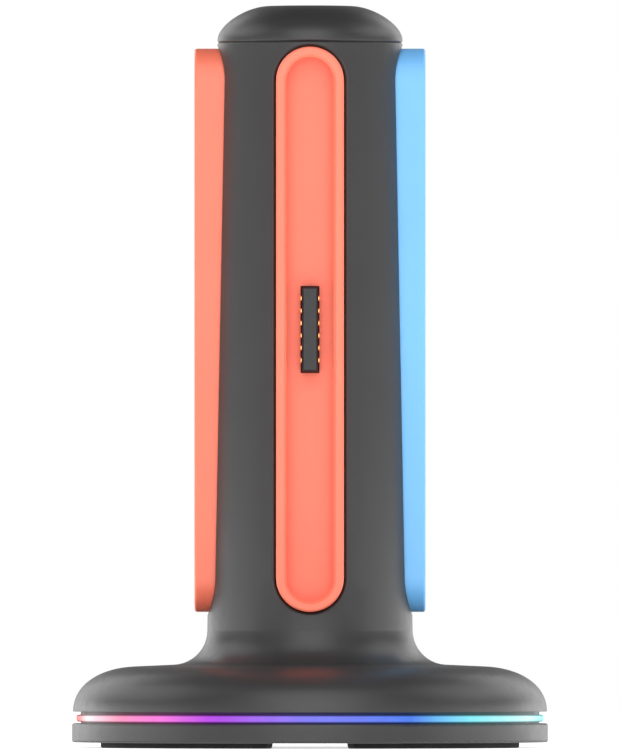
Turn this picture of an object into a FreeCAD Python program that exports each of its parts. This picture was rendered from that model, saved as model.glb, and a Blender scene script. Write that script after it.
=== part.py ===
"""Desk charging station with four pockets.

A round foot carries a tapered round column with a crowned cap. Four coloured holders stand in upright
slots round the column, each with a pocket that takes a flat rail and charges it through contacts. A
light ring glows in the foot between the moulded shell and the bottom plate.

Millimetres. The origin is the middle of the underside, +Z is up and -Y is the front.
"""
import FreeCAD
import Part
import math
import os
from FreeCAD import Vector

# Stack of the foot, from the table upwards
FOOT_STAND = 1.0            # height of the rubber feet below the bottom plate
PLATE_HEIGHT = 3.6          # rim of the bottom plate
LIGHT_HEIGHT = 2.2          # slit that the light ring fills
DOME_HEIGHT = 8.5           # from the slit to the shoulder of the foot
TOP_RISE = 0.6              # slope of the foot's top, from its shoulder to the column

# Tower shell: foot and column in one moulding
BASE_RADIUS = 44.85         # bottom plate, the widest piece
DOME_INSET = 0.2            # lower edge of the shell inside the plate's edge
DOME_FLARE = 11.65          # width of the foot's rounded edge
DOME_FULLNESS = 0.6         # share of the way to its corner that the edge's curve is drawn
DOME_WALL = 2.4
COLUMN_RADIUS = 17.42       # at the seam under the cap
COLUMN_SPREAD = 2.03        # how much wider the drafted column is where it meets the foot
COLUMN_WALL = 2.0
COLUMN_FILLET = 6.5
SEAM_CHAMFER = 0.25         # each side of the seam under the cap

# Cap
CAP_HEIGHT = 6.9
CROWN_WIDTH = 9.7           # rounded part of the cap, outside its flat top
CROWN_FULLNESS = 0.44       # share of the way to its corner that the crown's curve is drawn
CAP_EDGE = 0.5              # upright edge below the crown
CAP_WALL = 2.0
PLUG_LENGTH = 8.5           # below the seam
PLUG_WALL = 1.6
PLUG_GAP = 0.15
SNAP_WIDTH = 5.0
SNAP_HEIGHT = 1.6
SNAP_BITE = 0.7             # beyond the plug's side

# Holders and their slots
HOLDER_PROUD = 4.33         # rim of a holder beyond the top of the column
HOLDER_HALF = 6.35
HOLDER_LENGTH = 106.1
HOLDER_START = 9.65         # lower end of a holder above the top of the foot
HOLDER_END = 1.1            # upper end of a holder below the seam
HOLDER_EDGE = 0.5           # rounding of the rim's outer edge
HOLDER_WALL = 1.95
POCKET_DEPTH = 4.5
POCKET_LEAD = 0.5           # chamfer at the mouth of the pocket
FLOOR_THICKNESS = 1.5
SLOT_GAP = 0.15
SLOT_EDGE = 0.5             # rounding of the slot's outer edge
SHOULDER_LAP = 1.4          # retaining shoulder beyond each side of the slot
SHOULDER_GAP = 0.1          # between the shoulder and the bore

# Charging contacts behind each pocket
TONGUE_LENGTH = 16.0
TONGUE_HALF = 1.6
TONGUE_REACH = 3.6          # above the pocket's floor
TONGUE_TIP = 0.4            # chamfer round the tip
TONGUE_FLANGE = 2.0         # beyond each end of the tongue, behind the floor
TONGUE_SIDE = 1.2           # from the flange to the side of the holder's hollow
WINDOW_GAP = 0.15
PIN_COUNT = 6               # on each side of the tongue
PIN_MARGIN = 2.2            # from the tongue's end to the middle of the first pin
PIN_WIDTH = 1.1
PIN_LENGTH = 3.0
PIN_THICKNESS = 0.12
MAGNET_LENGTH = 22.0
MAGNET_SIDE = 0.8           # from a magnet to the side of the holder's hollow
MAGNET_THICKNESS = 1.75
CHARGE_BOARD_THICKNESS = 1.0
CHARGE_BOARD_GAP = 0.15
BACK_SPACE = 1.5            # between a charge board and the core frame
POST_RADIUS = 2.2
POST_INSET = 4.65           # from the end of the pocket
CHIP_SIZE = 5.0
CHIP_THICKNESS = 0.9
CHIP_OFFSET = 10.0          # above the middle of the pocket

# Core frame that backs the holders
CORE_WALL = 1.6
CORE_CORNER = 4.0
CORE_SHORT = 0.5            # below the seam
FLANGE_THICKNESS = 2.0
FLANGE_MARGIN = 4.0         # beyond the circle of its screws

# Flat cables and their sockets
CABLE_HALF = 3.0
CABLE_THICKNESS = 0.3
CABLE_STANDOFF = 1.6        # inside the core's wall
CABLE_TURN = 1.0            # bend onto the main board
CABLE_LEAD = 3.0            # straight run below the upper socket
CABLE_SLACK = 8.0           # cable window below the bend
SOCKET_SIDE = 1.0           # socket beyond each side of its cable
SOCKET_HEIGHT = 1.8
SOCKET_LENGTH = 4.0
SOCKET_DROP = 22.0          # upper socket's lower end below the middle of the pocket
SOCKET_GAP = 0.6            # between the upper socket and the core's window
MAIN_SOCKET_INSET = 0.6     # mouth of the lower socket outside the inside of the core

# Light ring
RING_INSET = 0.85           # inside the plate's edge
RING_WIDTH = 5.5
RING_LIP = 0.8              # thinner lip, outside what is clamped
RING_LIP_GAP = 0.3          # below the lip
RING_LIP_HEIGHT = 1.3
RING_EDGE = 0.35
SKIRT_WIDTH = 1.3
SKIRT_DROP = 1.3
SKIRT_GAP = 0.2

# Bottom plate and feet
PLATE_FLOOR = 2.0
PLATE_EDGE = 0.4
FOOT_INSET = 4.5            # inside the plate's edge
FOOT_WIDTH = 6.2
FOOT_SPAN = 66.6            # degrees
FOOT_SEAT = 0.5
FOOT_CORNER = 0.8
FOOT_EDGE = 0.25
FOOT_GAP = 0.12

# Boards, lamps and ballast in the foot
LAMP_COUNT = 16
LAMP_DEPTH = 2.0
LAMP_HALF = 1.4
LAMP_HEIGHT = 1.6
LAMP_GAP = 0.5              # from the lamps to the light ring
LAMP_BOARD_WIDTH = 5.4
LAMP_BOARD_THICKNESS = 0.8
LAMP_RIB_INSET = 0.9        # rib of the plate inside each edge of the lamp board
MAIN_BOARD_THICKNESS = 1.6
MAIN_BOARD_CLEAR = 0.4      # above the light ring and inside the shell
MAIN_POST_RADIUS = 2.4
MAIN_POST_GAP = 0.5         # from a cable socket to the head of the screw behind it
PAD_GAP = 0.6               # from the boards to the pads of the base screws
TAB_HALF = 7.0
TAB_SHORT = 1.0             # board's tab ends this far behind the inlet's mouth
BALLAST_BORE = 7.0
BALLAST_THICKNESS = 2.4
BALLAST_GAP = 0.3           # round the posts
INDUCTOR_SIZE = 5.0
INDUCTOR_HEIGHT = 1.5
INDUCTOR_EDGE = 0.4
CONTROL_CHIP_SIZE = 5.0
PART_GAP = 1.8              # from the parts on the board to the heads of the frame screws
LINK_HALF = 2.5
LINK_TURN = 1.2
LINK_LAP = 1.5

# Power inlet in the back of the foot
PORT_HALF_WIDTH = 4.47
PORT_HALF_HEIGHT = 1.63
PORT_WALL = 0.3
PORT_LENGTH = 7.3
PORT_INSET = 3.05           # mouth of the inlet inside the shell's lower edge
PORT_GAP = 0.3
PORT_TONGUE_SIDE = 0.9      # from the inlet's tongue to the inside of its sleeve
PORT_TONGUE_THICKNESS = 0.7
PORT_TONGUE_LENGTH = 4.6
PORT_BACK = 1.6

# Screws
SCREW_FIT = 0.03            # between a shank and its pilot hole
SCREW_PASS = 0.25           # between a shank and a hole that it passes
PILOT_SPARE = 0.3           # pilot hole beyond the screw's tip
BASE_SCREW_SHANK = 1.15
BASE_SCREW_HEAD = 2.3
BASE_SCREW_HEAD_HEIGHT = 0.9
BASE_SCREW_BITE = 6.5
BASE_BORE_GAP = 0.4
BASE_BORE_DEPTH = 1.2
BOSS_RADIUS = 2.8
PAD_RADIUS = 3.2
PAD_HEIGHT = 2.0
FRAME_SCREW_SHANK = 1.0
FRAME_SCREW_HEAD = 1.9
FRAME_SCREW_HEAD_HEIGHT = 1.4
FRAME_SCREW_BITE = 3.6
FRAME_SCREW_WALL = 2.5      # middle of a frame screw outside the bore
MAIN_SCREW_SHANK = 0.95
MAIN_SCREW_HEAD = 1.8
MAIN_SCREW_HEAD_HEIGHT = 1.2
MAIN_SCREW_BITE = 2.6
BOARD_SCREW_SHANK = 0.8
BOARD_SCREW_HEAD = 1.5
BOARD_SCREW_HEAD_HEIGHT = 1.0
BOARD_SCREW_BITE = 2.4
RECESS_HALF = 0.22          # half the width of each slot of the cross recess
RECESS_DEPTH = 0.5
RECESS_EDGE = 0.75          # from the recess to the edge of the head

# Heights
PLATE_LOW = FOOT_STAND
PLATE_TOP = PLATE_LOW + PLATE_HEIGHT
RIM = PLATE_TOP + LIGHT_HEIGHT
SHOULDER = RIM + DOME_HEIGHT
FOOT_TOP = SHOULDER + TOP_RISE
HOLDER_LOW = FOOT_TOP + HOLDER_START
HOLDER_HIGH = HOLDER_LOW + HOLDER_LENGTH
SEAM = HOLDER_HIGH + HOLDER_END
TOP = SEAM + CAP_HEIGHT
CROWN = SEAM + CAP_EDGE
CEILING = SHOULDER - DOME_WALL
FLANGE_LOW = CEILING - FLANGE_THICKNESS
CORE_TOP = SEAM - CORE_SHORT
PLUG_LOW = SEAM - PLUG_LENGTH
PLATE_FLOOR_TOP = PLATE_LOW + PLATE_FLOOR
PAD_TOP = PLATE_FLOOR_TOP + PAD_HEIGHT
MAIN_BOARD_LOW = RIM + MAIN_BOARD_CLEAR
MAIN_BOARD_TOP = MAIN_BOARD_LOW + MAIN_BOARD_THICKNESS
PORT_HEIGHT = MAIN_BOARD_TOP + PORT_HALF_HEIGHT
LAMP_BOARD_TOP = (PLATE_TOP + RIM - LAMP_HEIGHT) / 2
LAMP_BOARD_LOW = LAMP_BOARD_TOP - LAMP_BOARD_THICKNESS
POCKET_LOW = HOLDER_LOW + HOLDER_WALL
POCKET_HIGH = HOLDER_HIGH - HOLDER_WALL
POCKET_MIDDLE = (POCKET_LOW + POCKET_HIGH) / 2
SOCKET_LOW = POCKET_MIDDLE - SOCKET_DROP
BOARD_SCREW_HEIGHTS = (POCKET_LOW + POST_INSET, POCKET_HIGH - POST_INSET)

# Distances from the axis and half widths
COLUMN_FOOT_RADIUS = COLUMN_RADIUS + COLUMN_SPREAD
HOLDER_FACE = COLUMN_RADIUS + HOLDER_PROUD
FLOOR_FRONT = HOLDER_FACE - POCKET_DEPTH
FLOOR_BACK = FLOOR_FRONT - FLOOR_THICKNESS
BOARD_FRONT = FLOOR_BACK - MAGNET_THICKNESS
BOARD_BACK = BOARD_FRONT - CHARGE_BOARD_THICKNESS
CORE_HALF = BOARD_BACK - BACK_SPACE
CORE_INNER_HALF = CORE_HALF - CORE_WALL
TONGUE_FACE = FLOOR_FRONT + TONGUE_REACH
POCKET_HALF = HOLDER_HALF - HOLDER_WALL
SLOT_HALF = HOLDER_HALF + SLOT_GAP
SOCKET_HALF = CABLE_HALF + SOCKET_SIDE
MAIN_SOCKET_NEAR = CORE_INNER_HALF + MAIN_SOCKET_INSET
CAP_FLAT_RADIUS = COLUMN_RADIUS - CROWN_WIDTH
DOME_RADIUS = BASE_RADIUS - DOME_INSET
SHOULDER_RADIUS = DOME_RADIUS - DOME_FLARE
RING_RADIUS = BASE_RADIUS - RING_INSET
RING_INNER_RADIUS = RING_RADIUS - RING_WIDTH
SKIRT_RADIUS = RING_INNER_RADIUS + SKIRT_WIDTH
FOOT_RADIUS = BASE_RADIUS - FOOT_INSET
LAMP_FACE = RING_INNER_RADIUS - LAMP_GAP
LAMP_BOARD_INNER = LAMP_FACE - LAMP_BOARD_WIDTH
BASE_SCREW_CIRCLE = LAMP_BOARD_INNER - PAD_RADIUS - PAD_GAP
MAIN_BOARD_RADIUS = BASE_SCREW_CIRCLE - PAD_RADIUS - PAD_GAP
MAIN_POST_CIRCLE = MAIN_SOCKET_NEAR + SOCKET_LENGTH + MAIN_POST_GAP + MAIN_SCREW_HEAD
PORT_MOUTH = DOME_RADIUS - PORT_INSET
PORT_REAR = PORT_MOUTH - PORT_LENGTH

BEYOND = 5.0                # cutting tools run this far past the solid
NEAR = 1e-4                 # positions closer than this are the same
SIDE_NAMES = ("right", "back", "left", "front")
CORNER_NAMES = ("back_right", "back_left", "front_left", "front_right")
SIDES = {name: 90 * place for place, name in enumerate(SIDE_NAMES)}
CORNERS = {name: 90 * place + 45 for place, name in enumerate(CORNER_NAMES)}
JOIN_ANGLE = 22.5           # where a round face closes on itself, clear of slots and bosses
AXIS = Vector(0, 0, 1)
ORIGIN = Vector(0, 0, 0)


# Shape helpers

class Outline:
    """A closed profile in the half plane of radius and height, drawn edge by edge."""

    def __init__(self, radius, height):
        self.first = Vector(radius, 0, height)
        self.last = self.first
        self.edges = []

    def line(self, radius, height):
        end = Vector(radius, 0, height)
        self.edges.append(Part.LineSegment(self.last, end).toShape())
        self.last = end
        return self

    def swept(self, corner, end, fullness):
        """A curve that starts towards corner and arrives at end from corner, fuller with longer handles."""
        bend = Vector(corner[0], 0, corner[1])
        goal = Vector(end[0], 0, end[1])
        curve = Part.BezierCurve()
        handles = [self.last + (bend - self.last) * fullness, goal + (bend - goal) * fullness]
        curve.setPoles([self.last] + handles + [goal])
        self.edges.append(curve.toShape())
        self.last = goal
        return self

    def rounded(self, corner, after, size):
        """A line towards corner and an arc of that radius there, ready for a line on to after."""
        point = Vector(corner[0], 0, corner[1])
        back = (self.last - point).normalize()
        onward = (Vector(after[0], 0, after[1]) - point).normalize()
        half_angle = back.getAngle(onward) / 2
        reach = size / math.tan(half_angle)
        start = point + back * reach
        end = point + onward * reach
        middle = point + (back + onward).normalize() * (size / math.sin(half_angle) - size)
        self.line(start.x, start.z)
        self.edges.append(Part.Arc(start, middle, end).toShape())
        self.last = end
        return self

    def face(self):
        self.line(self.first.x, self.first.z)
        return Part.Face(Part.Wire(self.edges))

    def revolved(self):
        return turned(self.face(), JOIN_ANGLE).revolve(ORIGIN, AXIS, 360)


def turned(shape, degrees):
    """A copy of shape, turned about the column's axis."""
    copy = shape.copy()
    copy.rotate(ORIGIN, AXIS, degrees)
    return copy


def on_sides(shape):
    """Copies of shape at the four holders' sides."""
    return [turned(shape, angle) for angle in SIDES.values()]


def on_corners(shape):
    """Copies of shape between the holders' sides."""
    return [turned(shape, angle) for angle in CORNERS.values()]


def bar(near, far, half_width, low, high):
    """A block on the +X side, centred on the XZ plane."""
    return Part.makeBox(far - near, 2 * half_width, high - low, Vector(near, -half_width, low))


def rod(radius, low, high, distance=0):
    """An upright cylinder at that distance along +X."""
    return Part.makeCylinder(radius, high - low, Vector(distance, 0, low))


def spoke(radius, near, far, height):
    """A round bar along +X at that height."""
    return Part.makeCylinder(radius, far - near, Vector(near, 0, height), Vector(1, 0, 0))


def stadium(half_width, low, high, near, far):
    """A prism along +X with straight upright sides and full-round ends."""
    bottom = low + half_width
    top = high - half_width
    corners = [Vector(near, y, z) for y, z in
               ((-half_width, bottom), (-half_width, top), (half_width, top), (half_width, bottom))]
    edges = [
        Part.LineSegment(corners[0], corners[1]).toShape(),
        Part.Arc(corners[1], Vector(near, 0, high), corners[2]).toShape(),
        Part.LineSegment(corners[2], corners[3]).toShape(),
        Part.Arc(corners[3], Vector(near, 0, low), corners[0]).toShape(),
    ]
    return Part.Face(Part.Wire(edges)).extrude(Vector(far - near, 0, 0))


def lying_stadium(half_height, half_width, near, far):
    """The same prism with its long side level, at the height of the power inlet."""
    prism = stadium(half_height, -half_width, half_width, near, far)
    prism.rotate(ORIGIN, Vector(1, 0, 0), 90)
    prism.translate(Vector(0, 0, PORT_HEIGHT))
    return prism


def square_column(half, corner, low, high):
    """A square bar on the axis with rounded upright edges."""
    block = Part.makeBox(2 * half, 2 * half, high - low, Vector(-half, -half, low))
    return block.makeFillet(corner, upright_edges(block))


def upright_edges(shape):
    """The straight edges of shape that run along Z."""
    return [e for e in shape.Edges if abs(e.BoundBox.ZLength - e.Length) < NEAR]


def edges_facing(shape, distance):
    """The edges of shape in the plane at that distance along +X."""
    return [e for e in shape.Edges
            if abs(e.BoundBox.XMin - distance) < NEAR and abs(e.BoundBox.XMax - distance) < NEAR]


def edges_at_height(shape, height):
    """The edges of shape in the level plane at that height."""
    return [e for e in shape.Edges
            if abs(e.BoundBox.ZMin - height) < NEAR and abs(e.BoundBox.ZMax - height) < NEAR]


def column_radius(height):
    """Outside of the drafted column at that height."""
    share = (SEAM - height) / (SEAM - FOOT_TOP)
    return COLUMN_RADIUS + COLUMN_SPREAD * share


def bore_radius(height):
    """Inside of the column's wall at that height."""
    return column_radius(height) - COLUMN_WALL


def ring_sector(inner, outer, low, high, span, middle, corner):
    """A flat arc-shaped pad with rounded corners, centred on the angle middle."""
    face = Outline(inner, low).line(outer, low).line(outer, high).line(inner, high).face()
    pad = turned(face.revolve(ORIGIN, AXIS, span), middle - span / 2)
    return pad.makeFillet(corner, upright_edges(pad))


def screw(shank, head, head_height, length):
    """A pan-head screw with a cross recess, its head hanging below the level of the origin."""
    body = rod(shank, 0, length).fuse(rod(head, -head_height, 0))
    reach = head - RECESS_EDGE
    for along, across in ((reach, RECESS_HALF), (RECESS_HALF, reach)):
        corner = Vector(-along, -across, -head_height)
        body = body.cut(Part.makeBox(2 * along, 2 * across, RECESS_DEPTH, corner))
    return body


# Tower shell, cap and core frame

def make_tower_shell():
    """The flared foot and the drafted column, with slots for the holders and bosses for the screws."""
    inner_rim = DOME_RADIUS - DOME_WALL
    slope = TOP_RISE / (SHOULDER_RADIUS - COLUMN_FOOT_RADIUS)
    outline = Outline(DOME_RADIUS, RIM)
    corner = (DOME_RADIUS, SHOULDER - DOME_FLARE * slope)
    outline.swept(corner, (SHOULDER_RADIUS, SHOULDER), DOME_FULLNESS)
    outline.rounded((COLUMN_FOOT_RADIUS, FOOT_TOP), (COLUMN_RADIUS, SEAM), COLUMN_FILLET)
    outline.line(column_radius(SEAM - SEAM_CHAMFER), SEAM - SEAM_CHAMFER)
    outline.line(COLUMN_RADIUS - SEAM_CHAMFER, SEAM)
    outline.line(bore_radius(SEAM), SEAM)
    outline.line(bore_radius(CEILING), CEILING)
    outline.line(SHOULDER_RADIUS, CEILING)
    outline.swept((inner_rim, CEILING), (inner_rim, RIM), DOME_FULLNESS)
    shell = outline.revolved()
    slot = stadium(SLOT_HALF, HOLDER_LOW - SLOT_GAP, HOLDER_HIGH + SLOT_GAP, CORE_HALF, HOLDER_FACE + BEYOND)
    shell = shell.cut(on_sides(slot))
    shell = shell.makeFillet(SLOT_EDGE, slot_rims(shell))
    boss = rod(BOSS_RADIUS, PAD_TOP, CEILING, BASE_SCREW_CIRCLE)
    shell = shell.fuse(on_corners(boss))
    pilot_top = PAD_TOP + BASE_SCREW_BITE + PILOT_SPARE
    base_pilot = rod(BASE_SCREW_SHANK + SCREW_FIT, PAD_TOP, pilot_top, BASE_SCREW_CIRCLE)
    pilot_top = CEILING + FRAME_SCREW_BITE + PILOT_SPARE
    frame_pilot = rod(FRAME_SCREW_SHANK + SCREW_FIT, CEILING, pilot_top, frame_screw_circle())
    inlet = lying_stadium(PORT_HALF_HEIGHT + PORT_GAP, PORT_HALF_WIDTH + PORT_GAP,
                          PORT_REAR, DOME_RADIUS + BEYOND)
    shell = shell.cut(on_corners(base_pilot) + on_corners(frame_pilot) + [turned(inlet, SIDES["back"])])
    return shell.removeSplitter()


def slot_rims(shell):
    """The edges where the slots leave the column's outer face."""
    low = HOLDER_LOW - SLOT_GAP - NEAR
    high = HOLDER_HIGH + SLOT_GAP + NEAR
    rims = []
    for edge in shell.Edges:
        middle = edge.valueAt((edge.FirstParameter + edge.LastParameter) / 2)
        points = [middle] + [vertex.Point for vertex in edge.Vertexes]
        if all(low < p.z < high and on_column(p) for p in points):
            rims.append(edge)
    return rims


def on_column(point):
    return abs(math.hypot(point.x, point.y) - column_radius(point.z)) < NEAR


def frame_screw_circle():
    return bore_radius(CEILING) + FRAME_SCREW_WALL


def make_top_cap():
    """A crowned cap with a square plug that snaps into the top of the core frame."""
    ceiling = TOP - CAP_WALL
    inner = bore_radius(SEAM)
    crown = Outline(0, TOP).line(CAP_FLAT_RADIUS, TOP)
    crown.swept((COLUMN_RADIUS, TOP), (COLUMN_RADIUS, CROWN), CROWN_FULLNESS)
    crown.line(COLUMN_RADIUS, SEAM + SEAM_CHAMFER).line(COLUMN_RADIUS - SEAM_CHAMFER, SEAM).line(0, SEAM)
    hollow = Outline(0, ceiling).line(CAP_FLAT_RADIUS, ceiling)
    hollow.swept((inner, ceiling), (inner, CROWN), CROWN_FULLNESS)
    hollow.line(inner, SEAM).line(0, SEAM)
    half = CORE_INNER_HALF - PLUG_GAP
    corner = CORE_CORNER - CORE_WALL
    plug = square_column(half, corner, PLUG_LOW, ceiling)
    plug = plug.cut(square_column(half - PLUG_WALL, corner - PLUG_WALL, PLUG_LOW, ceiling))
    spigot = plug.common(rod(COLUMN_RADIUS, PLUG_LOW, CROWN))
    snap = bar(half, half + SNAP_BITE, SNAP_WIDTH / 2, PLUG_LOW, PLUG_LOW + SNAP_HEIGHT)
    cap = crown.revolved().cut(hollow.revolved().cut(plug))
    return cap.fuse([spigot] + on_sides(snap)).removeSplitter()


def make_core_frame():
    """A square tube that backs the holders, with a flange that screws up under the foot's top."""
    flange = rod(frame_screw_circle() + FLANGE_MARGIN, FLANGE_LOW, CEILING)
    frame = square_column(CORE_HALF, CORE_CORNER, FLANGE_LOW, CORE_TOP).fuse(flange)
    hollow = square_column(CORE_INNER_HALF, CORE_CORNER - CORE_WALL, FLANGE_LOW, CORE_TOP)
    cable_window = bar(CORE_INNER_HALF - PLUG_GAP, CORE_HALF, SOCKET_HALF + SOCKET_GAP,
                       SOCKET_LOW - CABLE_LEAD - CABLE_SLACK, SOCKET_LOW + SOCKET_LENGTH + SOCKET_GAP)
    snap_window = bar(CORE_INNER_HALF - PLUG_GAP, CORE_HALF, SNAP_WIDTH / 2 + PLUG_GAP,
                      PLUG_LOW - PLUG_GAP, PLUG_LOW + SNAP_HEIGHT + PLUG_GAP)
    screw_hole = rod(FRAME_SCREW_SHANK + SCREW_PASS, FLANGE_LOW, CEILING, frame_screw_circle())
    tools = [hollow] + on_sides(cable_window) + on_sides(snap_window) + on_corners(screw_hole)
    return frame.cut(tools).removeSplitter()


# One charging place, drawn on the +X side

def make_holder():
    """A coloured rail holder: a stadium boss through the slot, with shoulders inside the column's wall."""
    boss = stadium(HOLDER_HALF, HOLDER_LOW, HOLDER_HIGH, CORE_HALF, HOLDER_FACE)
    boss = boss.makeFillet(HOLDER_EDGE, edges_facing(boss, HOLDER_FACE))
    shoulder_low = HOLDER_LOW + HOLDER_HALF
    shoulder_high = HOLDER_HIGH - HOLDER_HALF
    inside = Part.makeCone(
        bore_radius(shoulder_low) - SHOULDER_GAP, bore_radius(shoulder_high) - SHOULDER_GAP,
        shoulder_high - shoulder_low, Vector(0, 0, shoulder_low))
    shoulder = bar(CORE_HALF, HOLDER_FACE, SLOT_HALF + SHOULDER_LAP, shoulder_low, shoulder_high)
    holder = boss.fuse(shoulder.common(inside))
    pocket = stadium(POCKET_HALF, POCKET_LOW, POCKET_HIGH, FLOOR_FRONT, HOLDER_FACE + BEYOND)
    lead = stadium(POCKET_HALF + POCKET_LEAD, POCKET_LOW - POCKET_LEAD, POCKET_HIGH + POCKET_LEAD,
                   HOLDER_FACE - POCKET_LEAD, HOLDER_FACE + BEYOND)
    lead = lead.makeChamfer(POCKET_LEAD, edges_facing(lead, HOLDER_FACE - POCKET_LEAD))
    hollow = stadium(POCKET_HALF, POCKET_LOW, POCKET_HIGH, CORE_HALF, FLOOR_BACK)
    half_length = TONGUE_LENGTH / 2 + WINDOW_GAP
    window = bar(FLOOR_BACK, FLOOR_FRONT, TONGUE_HALF + WINDOW_GAP,
                 POCKET_MIDDLE - half_length, POCKET_MIDDLE + half_length)
    holder = holder.cut([pocket, lead, hollow, window])
    tip = BOARD_FRONT + BOARD_SCREW_BITE + PILOT_SPARE
    posts = [spoke(POST_RADIUS, BOARD_FRONT, FLOOR_BACK, height) for height in BOARD_SCREW_HEIGHTS]
    pilots = [spoke(BOARD_SCREW_SHANK + SCREW_FIT, BOARD_FRONT, tip, height)
              for height in BOARD_SCREW_HEIGHTS]
    return holder.fuse(posts).cut(pilots).removeSplitter()


def make_contact_tongue():
    """The insulator that stands in the pocket, with a flange behind the floor."""
    half_length = TONGUE_LENGTH / 2
    flange_half = half_length + TONGUE_FLANGE
    flange = bar(BOARD_FRONT, FLOOR_BACK, POCKET_HALF - TONGUE_SIDE,
                 POCKET_MIDDLE - flange_half, POCKET_MIDDLE + flange_half)
    blade = bar(BOARD_FRONT, TONGUE_FACE, TONGUE_HALF,
                POCKET_MIDDLE - half_length, POCKET_MIDDLE + half_length)
    blade = blade.makeChamfer(TONGUE_TIP, edges_facing(blade, TONGUE_FACE))
    return flange.fuse(blade).removeSplitter()


def make_contact_pins():
    """Flat contacts on both sides of the tongue."""
    pins = []
    far = TONGUE_FACE - TONGUE_TIP
    pitch = (TONGUE_LENGTH - 2 * PIN_MARGIN) / (PIN_COUNT - 1)
    for number in range(PIN_COUNT):
        low = POCKET_MIDDLE - TONGUE_LENGTH / 2 + PIN_MARGIN + number * pitch - PIN_WIDTH / 2
        for side in (TONGUE_HALF, -TONGUE_HALF - PIN_THICKNESS):
            corner = Vector(far - PIN_LENGTH, side, low)
            pins.append(Part.makeBox(PIN_LENGTH, PIN_THICKNESS, PIN_WIDTH, corner))
    return pins


def make_magnets():
    """Two bar magnets between the pocket's floor and the charge board, each midway in its bay."""
    bay_low = BOARD_SCREW_HEIGHTS[0] + POST_RADIUS
    bay_high = POCKET_MIDDLE - TONGUE_LENGTH / 2 - TONGUE_FLANGE
    offset = POCKET_MIDDLE - (bay_low + bay_high) / 2
    reach = MAGNET_LENGTH / 2
    return [bar(BOARD_FRONT, FLOOR_BACK, POCKET_HALF - MAGNET_SIDE, middle - reach, middle + reach)
            for middle in (POCKET_MIDDLE - offset, POCKET_MIDDLE + offset)]


def make_charge_board():
    board = stadium(POCKET_HALF - CHARGE_BOARD_GAP, POCKET_LOW + CHARGE_BOARD_GAP,
                    POCKET_HIGH - CHARGE_BOARD_GAP, BOARD_BACK, BOARD_FRONT)
    return board.cut([spoke(BOARD_SCREW_SHANK + SCREW_PASS, BOARD_BACK, BOARD_FRONT, height)
                      for height in BOARD_SCREW_HEIGHTS])


def make_charge_chip():
    low = POCKET_MIDDLE + CHIP_OFFSET
    return bar(BOARD_BACK - CHIP_THICKNESS, BOARD_BACK, CHIP_SIZE / 2, low, low + CHIP_SIZE)


def make_board_screws():
    screws = []
    for height in BOARD_SCREW_HEIGHTS:
        one = screw(BOARD_SCREW_SHANK, BOARD_SCREW_HEAD, BOARD_SCREW_HEAD_HEIGHT,
                    CHARGE_BOARD_THICKNESS + BOARD_SCREW_BITE)
        one.rotate(ORIGIN, Vector(0, 1, 0), 90)
        one.translate(Vector(BOARD_BACK, 0, height))
        screws.append(one)
    return screws


def make_sockets():
    """The cable's socket on the charge board, and the one on the main board."""
    upper = bar(BOARD_BACK - SOCKET_HEIGHT, BOARD_BACK, SOCKET_HALF, SOCKET_LOW, SOCKET_LOW + SOCKET_LENGTH)
    lower = bar(MAIN_SOCKET_NEAR, MAIN_SOCKET_NEAR + SOCKET_LENGTH, SOCKET_HALF,
                MAIN_BOARD_TOP, MAIN_BOARD_TOP + SOCKET_HEIGHT)
    return [upper, lower]


class Ribbon:
    """A flat cable in the XZ plane, made of straight runs and quarter turns."""

    def __init__(self, distance, height):
        self.start = Vector(distance, 0, height)
        self.last = self.start
        self.edges = []

    def run(self, distance, height):
        end = Vector(distance, 0, height)
        self.edges.append(Part.LineSegment(self.last, end).toShape())
        self.last = end
        return self

    def turn(self, corner, end):
        """A quarter circle that leaves towards corner and arrives at end from corner."""
        bend = Vector(corner[0], 0, corner[1])
        goal = Vector(end[0], 0, end[1])
        centre = self.last + goal - bend
        middle = centre + (bend - centre) * math.sqrt(0.5)
        self.edges.append(Part.Arc(self.last, middle, goal).toShape())
        self.last = goal
        return self

    def solid(self, half_width):
        along = self.edges[0].tangentAt(self.edges[0].FirstParameter)
        across = Vector(0, half_width, 0)
        thick = along.cross(Vector(0, 1, 0)) * (CABLE_THICKNESS / 2)
        corners = [self.start + thick + across, self.start - thick + across,
                   self.start - thick - across, self.start + thick - across]
        section = Part.makePolygon(corners + corners[:1])
        return Part.Wire(self.edges).makePipeShell([section], True, False)


def make_charge_cable():
    """From a charge board, through the core's window and down its inside to the main board."""
    out = BOARD_BACK - SOCKET_HEIGHT / 2
    inside = CORE_INNER_HALF - CABLE_STANDOFF
    between = (out + inside) / 2
    bend = SOCKET_LOW - CABLE_LEAD
    turn = out - between
    level = MAIN_BOARD_TOP + SOCKET_HEIGHT / 2
    cable = Ribbon(out, SOCKET_LOW).run(out, bend)
    cable.turn((out, bend - turn), (between, bend - turn))
    cable.turn((inside, bend - turn), (inside, bend - 2 * turn))
    cable.run(inside, level + CABLE_TURN)
    cable.turn((inside, level), (inside + CABLE_TURN, level))
    return cable.run(MAIN_SOCKET_NEAR, level).solid(CABLE_HALF)


# Light ring, bottom plate and feet

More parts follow.
